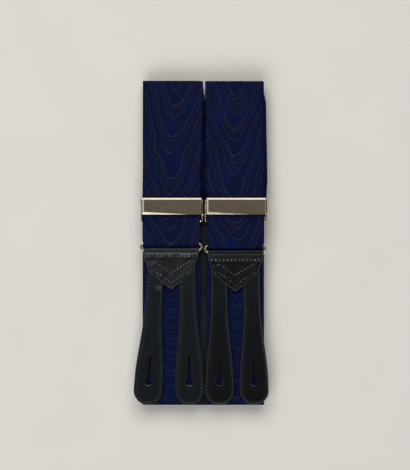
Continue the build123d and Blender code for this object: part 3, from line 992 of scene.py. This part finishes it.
def leather_end(prefix, body, base, reach, tabs):
    """Everything of one leather end, in a frame that base places.

    reach is from the roll to the tabs' tips. tabs gives each tab's side (-1 or 1) and its splay in
    degrees.
    """
    leather = LEATHER[prefix]
    seed, band_rise, row_y = END_SEED[prefix], BAND_RISE[prefix], ROW_Y[prefix]
    mid = PLY / 2 + ROLL_RADIUS
    rng = random.Random(len(prefix))

    # facing: lap behind, round the ring's bar, and the shield in front
    steps = (0, 0.06, 0.16, 0.3, 0.5, 0.8, 1.1, 1.5, 2.1)
    path = Path(-LAP, -mid, 1.0).line(0.0, -mid)
    path.arc(0.0, 0.0, mid, -90, 180, 18)
    start = LAP + pi * mid
    front_length = -FACING[-1][1]
    rows = [0.4 * k for k in range(1, 19)] + [7.6 + 0.65 * k for k in range(28)]
    rows += [front_length - d for d in (0.3, 0.15, 0.06, 0.012)]
    path.line(FACING[-1][1], mid, at=rows)

    def facing_half(s):
        if s < LAP:
            return outline_half(FACING, -(LAP - s) * 0.8)
        if s < start:
            return FACING[0][0]
        return outline_half(FACING, -(s - start))

    total = start + front_length
    samples = [total * k / 400 for k in range(401)]
    right = [(facing_half(s), s) for s in samples]
    outline = [(w, s) for w, s in right] + [(-w, s) for w, s in right[::-1]]
    outline.append(outline[0])

    def front_height(x, d):
        """Rise of the facing's front at a distance d below the roll."""
        band = np.clip((d - 0.8) / (-row_y + 0.5), 0, 1)
        dip = -0.24 * np.exp(-(((d - 0.75) / 0.55) ** 2))
        over_tabs = np.exp(-(((np.abs(x) - TAB_OFFSET) / 5.6) ** 4))
        swell = (band_rise + 0.14 * over_tabs) * band
        sink = -0.5 * np.exp(-((x / 4.2) ** 2)) * smooth_step(5, 12, d)
        fall = (0.1 - band_rise) * smooth_step(-row_y + 0.9, -row_y + 2.6, d)
        lumps = ripple(x * 4.0, d * 3.4, seed) + ripple(x * 8.0, d * 7.0, 2 * seed)
        return dip + swell + sink + fall + LUMPS[prefix] * band * lumps

    def facing_relief(x, y, s, edge):
        d = s - start
        rise = front_height(x, d) * smooth_step(0.0, 0.5, d)
        return np.zeros_like(x), rise * smooth_step(-0.3, 1.2, edge)

    facing = strip(
        f"{prefix}_facing",
        path,
        lambda s: 2 * max(0.03, facing_half(s)),
        PLY,
        FACING_LEATHER[prefix],
        edge_steps=steps,
        inner=26,
        rounding=0.36,
        outline=outline,
        relief=facing_relief,
        texture_x=seed * 60,
    )
    attach(facing, body, [f"{prefix}_leather_facing"], base)

    # backing behind the tabs
    top_y, point_y = BACKING[0][1], BACKING[-1][1]
    run = top_y - point_y
    at = [run * k / 24 for k in range(1, 24)] + [run - 0.1, run - 0.02]
    path = Path(top_y, -mid, 1.0).line(point_y, -mid, at=at)
    backing = strip(
        f"{prefix}_backing",
        path,
        lambda s: 2 * max(0.03, outline_half(BACKING, top_y - s)),
        PLY,
        leather,
        edge_steps=steps,
        texture_x=seed * 60 + 45,
    )
    attach(backing, body, [f"{prefix}_leather_backing"], base)

    # tabs
    length = reach + TAB_START
    seam_z = TAB_THICK / 2 - 0.06
    creased = CREASE_DEPTH[prefix]
    rooted = []
    for number, (tab, (sign, splay)) in enumerate(tabs.items()):
        turned = Matrix.Rotation(radians(sign * splay), 4, "Z")
        local = Matrix.Translation(Vector((sign * TAB_OFFSET, TAB_START, 0))) @ turned
        place = base @ Matrix.Scale(MM, 4) @ local @ Matrix.Scale(1 / MM, 4)
        buckle = 1.6 if tab == "left_outer" else 0.25
        look = (SLIT_HALF[prefix], creased, seed + 0.37 * sign, leather, buckle)
        piece = leather_tab(f"{tab}_leather", length, *look)
        piece.matrix_world = place
        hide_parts(f"{tab}_tab", f"{tab}_tab_lining")
        if number == 0:
            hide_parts(f"{prefix}_tab_roots")
        bpy.context.view_layer.update()
        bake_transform(piece)
        rim = hole_edge(f"{tab}_hole_edge", length, full=creased > 0.1)
        attach(rim, f"{tab}_tab", place=place)
        free = []
        for x, y, heading in stitch_line(tab_seam(length), 2.3, 0.6):
            turn = heading + rng.uniform(-7, 7)
            spot = local @ Vector((x, y, seam_z))
            if y < -2.4:
                free.append((x, y, seam_z, turn))
            elif y < ROOT_LENGTH - 2.0 and abs(spot.x) > outline_half(FACING, spot.y) + 0.5:
                rooted.append((*spot, turn + sign * splay))
        sewn = stitches(f"{tab}_stitches", free, TAB_THREAD, *TAB_STITCH)
        attach(sewn, f"{tab}_tab", place=place)

    # rows of stitches on the facing
    top = mid + PLY / 2
    heavy = []
    for k in range(13):
        x = -15.6 + 2.6 * k
        heavy.append((x, row_y, top + front_height(x, -row_y) - 0.04, 122 + rng.uniform(-8, 8)))
    light = []
    for line in (INNER_V, OUTER_V):
        for x, y, heading in stitch_line(line, 2.15):
            x += rng.uniform(-0.22, 0.22)
            y += rng.uniform(-0.28, 0.28)
            z = top + front_height(x, -y) - 0.02
            light.append((x, y, z, heading + rng.uniform(-26, 26)))
    # the right facing's heavy row takes the paler thread, a painted highlight of the leather puckers between its
    # stitches
    row_thread = ROW_THREAD if prefix == "right" else TAB_THREAD
    sewing = [
        ("facing_row", heavy, row_thread, ROW_STITCH),
        ("facing_v", light, FACING_THREAD, V_STITCH),
    ]
    if rooted:
        sewing.append(("root", rooted, TAB_THREAD, TAB_STITCH))
    for label, spots, material, size in sewing:
        sewn = stitches(f"{prefix}_{label}_stitches", spots, material, *size)
        attach(sewn, body, place=base)


for side in SIDES:
    outward = -1 if side == "left" else 1
    roll = pivot(f"{side}_end_swing")
    tabs = {}
    for which, sign in (("outer", outward), ("inner", -outward)):
        tab = f"{side}_{which}"
        mount = next(m for m in frame["record"]["mounts"] if m["name"] == f"{tab}_buttonhole")
        hole = Vector(mount["pos_m"]) / MM - roll
        run = hole - Vector((sign * TAB_OFFSET, TAB_START, 0))
        tabs[tab] = (sign, degrees(atan2(sign * run.x, -run.y)))
        reach = hypot(run.x, run.y) + HOLE_FROM_TIP - TAB_START
    leather_end(side, f"{side}_end", Matrix.Translation(roll * MM), reach, tabs)

base = Matrix.Translation(pivot("rear_ring_swing") * MM) @ Matrix.Rotation(pi, 4, "Z")
tabs = {"rear_left": (1, REAR_SPLAY), "rear_right": (-1, REAR_SPLAY)}
leather_end("rear", "rear_end", base, REAR_REACH, tabs)


# ---------- hardware
def rounded_copy(name, node, body, width=0.12):
    """A copy of a CAD metal part with small rounded edges, which stands in its place."""
    part = frame["nodes"][node]
    piece = new_object(name, part.data.copy())
    piece.matrix_world = part.matrix_world.copy()
    weld = piece.modifiers.new("weld", "WELD")
    weld.merge_threshold = 0.002 * MM
    bevel = piece.modifiers.new("edge", "BEVEL")
    bevel.width = width * MM
    bevel.segments = 3
    bevel.limit_method = "ANGLE"
    bevel.angle_limit = radians(34)
    bevel.harden_normals = True
    mesh = apply_modifiers(piece)
    mesh.materials.clear()
    mesh.materials.append(GILT)
    attach(piece, body, [node])


for side in SIDES:
    rounded_copy(f"{side}_lever_plate", f"{side}_adjuster_lever", f"{side}_lever")
    rounded_copy(f"{side}_wire_frame", f"{side}_adjuster_frame", f"{side}_adjuster")


def wire_ring(name, node, body):
    """Closed ring of round wire with two straight bars."""
    low, high = extent(node)
    radius = (high.z - low.z) / 2
    centre = (low + high) / 2
    end_r = (high.y - low.y) / 2 - radius
    bar = (high.x - low.x) / 2 - radius - end_r
    points = []
    for side, start in ((1, -90), (-1, 90)):
        for k in range(17):
            a = radians(start + 180 * k / 16)
            x, y = side * bar + end_r * cos(a), end_r * sin(a)
            points.append((centre.x + x, centre.y + y))
    piece = wire_loop(name, points, radius, centre.z, WIRE, ring=20)
    attach(piece, body, [node])


WIRE_RADIUS = 0.65  # of the adjuster's frame


def stop_collar(side):
    """Small turned collar on the right arm of an adjuster frame, just in front of the lever."""
    low, high = extent(f"{side}_adjuster_frame")
    lever_low, _ = extent(f"{side}_adjuster_lever")
    run, rise = high.y - low.y - 2 * WIRE_RADIUS, high.z - low.z - 2 * WIRE_RADIUS
    slope = atan2(rise, run)
    at_y = lever_low.y - 0.5  # just in front of the lever
    at_z = low.z + WIRE_RADIUS + (at_y - low.y - WIRE_RADIUS) * tan(slope)
    # turned profile: place along the arm and radius
    shape = ((-1.1, 0.0), (-1.1, 0.68), (-0.95, 0.92), (-0.5, 1.09), (0.0, 1.14))
    shape += tuple((-a, r) for a, r in shape[-2::-1])
    ring = 20
    verts = []
    for a, r in shape:
        for k in range(ring):
            turn = 2 * pi * k / ring
            up = r * sin(turn)
            y = at_y + a * cos(slope) - up * sin(slope)
            z = at_z + a * sin(slope) + up * cos(slope)
            verts.append((high.x - WIRE_RADIUS + r * cos(turn), y, z))
    piece = add_mesh(f"{side}_arm_collar", verts, tube_faces(len(shape), ring), GILT)
    face_outward(piece.data, merge=0.0005)
    attach(piece, f"{side}_adjuster")


for side in SIDES:
    stop_collar(side)
for end in (*SIDES, "rear"):
    wire_ring(f"{end}_wire_ring", f"{end}_ring", f"{end}_ring")


# ---------- back
PATCH_SEAM = 2.4  # the patch's stitches, from its edge and from one to the next
PATCH_NOTCH = 10.0  # how far its top dips between the straps
PATCH_WIDE = 30.5  # half width at its top


def back_patch(name, node, outer):
    """One leather shield of the back patch with its stitches, which lie on its outer face."""
    low, high = extent(node)
    centre = (low + high) / 2
    shape_y = [high.y, high.y - 13.0, high.y - 35.0, low.y + 4.0, low.y]
    shape_w = [PATCH_WIDE, 33.0, 28.8, 22.0, 20.5]
    path = Path(high.y, centre.z, 1.5).line(low.y, centre.z)
    piece = strip(
        name,
        path,
        lambda s: 2 * float(np.interp(s, [high.y - y for y in shape_y], shape_w)),
        PLY,
        LEATHER["rear"],
        centre=centre.x,
        edge_steps=(0, 0.1, 0.3, 0.6, 1.2, 1.8, 2.2, 2.6, 3.2),
        rounding=0.35,
        texture_x=100.0,
    )
    for vert in piece.data.vertices:
        across = max(0.0, 1 - abs(vert.co.x / MM - centre.x) / PATCH_WIDE)
        down = max(0.0, 1 - (high.y - vert.co.y / MM) / (high.y - low.y))
        vert.co.y -= PATCH_NOTCH * across * down * MM
    attach(piece, "back", [node])
    z = (low.z - 0.02) if outer else (high.z + 0.02)
    seams = []
    for sign in (-1, 1):
        ys = np.linspace(high.y - 3.5, low.y + PATCH_SEAM, 40)
        half = np.interp(ys, shape_y[::-1], shape_w[::-1]) - PATCH_SEAM
        seams.append([(sign * w, y) for w, y in zip(half, ys)])
        seams.append([(0.0, high.y - PATCH_NOTCH - 2.6), (sign * 28.0, high.y - 3.4)])
    seams.append([(-18.0, low.y + PATCH_SEAM), (18.0, low.y + PATCH_SEAM)])
    rows = []
    for seam in seams:
        rows += [(centre.x + x, y, z, a) for x, y, a in stitch_line(seam, PATCH_SEAM)]
    sewn = stitches(f"{name}_stitches", rows, TAB_THREAD, *PATCH_STITCH)
    attach(sewn, "back")


back_patch("back_patch_face", "back_patch_outer", True)
back_patch("back_patch_lining", "back_patch_inner", False)


ELASTIC_THICK = 1.1
ELASTIC_SEWN = 14.0  # length of the end sewn back over the ring's bar


def elastic_run(name, path, width, x0, nodes):
    """One length of the elastic. It stands for the nodes, which it hides."""
    piece = strip(name, path, width, ELASTIC_THICK, ELASTIC, centre=x0, rounding=0.4)
    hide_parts(*[f"rear_elastic_{node}" for node in nodes])
    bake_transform(piece)
    cloth(path)


def rear_elastic():
    """The elastic from the rear ring to the back patch, in two lengths."""
    upper_low, upper_high = extent("rear_elastic_upper")
    width = upper_high.x - upper_low.x
    x0 = middle("rear_elastic_upper").x
    upper_z = upper_high.z - ELASTIC_THICK / 2
    lower_z = ELASTIC_THICK / 2
    fold = pivot("back_fold")
    r = (upper_z - lower_z) / 2
    fold_y = fold.y + pi / 2 * r
    bar = pivot("elastic_end_swing")
    end_low, end_high = extent("rear_elastic_sewn_end")
    r_bar = (end_high.z - end_low.z - ELASTIC_THICK) / 2
    split = extent("rear_elastic_turn")[1].y

    path = Path(bar.y - ELASTIC_SEWN, bar.z + r_bar, 1.5).line(bar.y, bar.z + r_bar)
    path.arc(bar.y, bar.z, r_bar, 90, -180, 14)
    path.line(split, lower_z)
    nodes, bodies = ("sewn_end", "stretch"), ("elastic_end", "elastic_lower")
    elastic_run("elastic_lower_run", path, width, x0, nodes)

    path = Path(split, lower_z, 1.5).line(fold_y, lower_z)
    path.arc(fold_y, fold.z, r, 270, -180, 18)
    path.line(-2.0, upper_z)
    nodes, bodies = ("turn", "upper"), ("elastic_lower", "back")
    elastic_run("elastic_upper_run", path, width, x0, nodes)


rear_elastic()


# ---------- floor, light, camera
FLOOR_DEPTH = 0.1  # below the pack


def card_floor():
    """Plain pale floor, which is not part of the object."""
    m = Paint("pale_card", Roughness=0.85, Specular_IOR_Level=0.2)
    place = m.solid()
    m.colour(m.mix(m.noise(place, 0.02, 2.0), (0.62, 0.60, 0.57, 1), (0.66, 0.64, 0.61, 1)))
    mesh = bpy.data.meshes.new("floor")
    size = 3.0  # metres from the middle to an edge
    corners = [(-size, -size, 0), (size, -size, 0), (size, size, 0), (-size, size, 0)]
    mesh.from_pydata(corners, [], [(0, 1, 2, 3)])
    mesh.materials.append(m.material)
    floor = new_object("floor", mesh)
    floor.location.z = -FLOOR_DEPTH * MM


def soft_light(name, azimuth, lean, distance, size, power, colour, seen):
    """Area light aimed at the pack, with its distance and size in metres.

    lean is its angle from overhead, and azimuth runs from +X to +Y. seen says what it adds to:
    "diffuse" light or "glossy" reflections.
    """
    data = bpy.data.lights.new(name, "AREA")
    data.shape = "RECTANGLE"
    data.size, data.size_y = size
    data.energy = power
    data.color = colour
    light = new_object(name, data)
    a, b = radians(azimuth), radians(lean)
    place = Vector((sin(b) * cos(a), sin(b) * sin(a), cos(b))) * distance
    light.location = place
    light.rotation_mode = "QUATERNION"
    light.rotation_quaternion = (-place).to_track_quat("-Z", "Y")
    light.visible_glossy = seen != "diffuse"
    light.visible_diffuse = seen != "glossy"


VIEW_CENTRE = Vector((2.5, 5.4, 16.0))
VIEW_DISTANCE = 1200.0
VIEW_HEIGHT = 310.2  # what the picture's taller side takes in at that distance
SENSOR = 36.0


def camera():
    """A long lens straight above the pack."""
    data = bpy.data.cameras.new("camera")
    data.sensor_width = SENSOR
    data.lens = SENSOR * VIEW_DISTANCE / VIEW_HEIGHT
    data.clip_start, data.clip_end = 0.05, 20.0
    eye = new_object("camera", data)
    eye.location = (VIEW_CENTRE + Vector((0, 0, VIEW_DISTANCE))) * MM
    bpy.context.scene.camera = eye


card_floor()
world = bpy.data.worlds.new("studio")
world.use_nodes = True
world.node_tree.nodes["Background"].inputs[0].default_value = (0.95, 0.83, 0.68, 1)
world.node_tree.nodes["Background"].inputs[1].default_value = 0.094
bpy.context.scene.world = world
soft_light("key", 95, 34, 2.4, (2.2, 1.6), 49, (1, 0.985, 0.96), "diffuse")
soft_light("fill", 250, 36, 2.4, (2.2, 1.6), 37, (0.97, 0.98, 1), "diffuse")
soft_light("top_card", 92, 37, 1.5, (1.5, 0.85), 4.4, (1, 0.97, 0.93), "glossy")
soft_light("spark_card", 100, 26, 1.5, (0.5, 0.14), 5.5, (0.86, 0.95, 1), "glossy")
soft_light("low_left_card", 243, 45, 1.5, (0.9, 0.5), 1.8, (1, 1, 1), "glossy")
soft_light("left_card", 180, 45, 1.5, (0.7, 0.6), 0.7, (1, 0.96, 0.9), "glossy")
soft_light("right_card", 352, 48, 1.5, (0.5, 0.8), 0.8, (1, 1, 1), "glossy")
camera()
bpy.context.scene.view_settings.view_transform = "Standard"
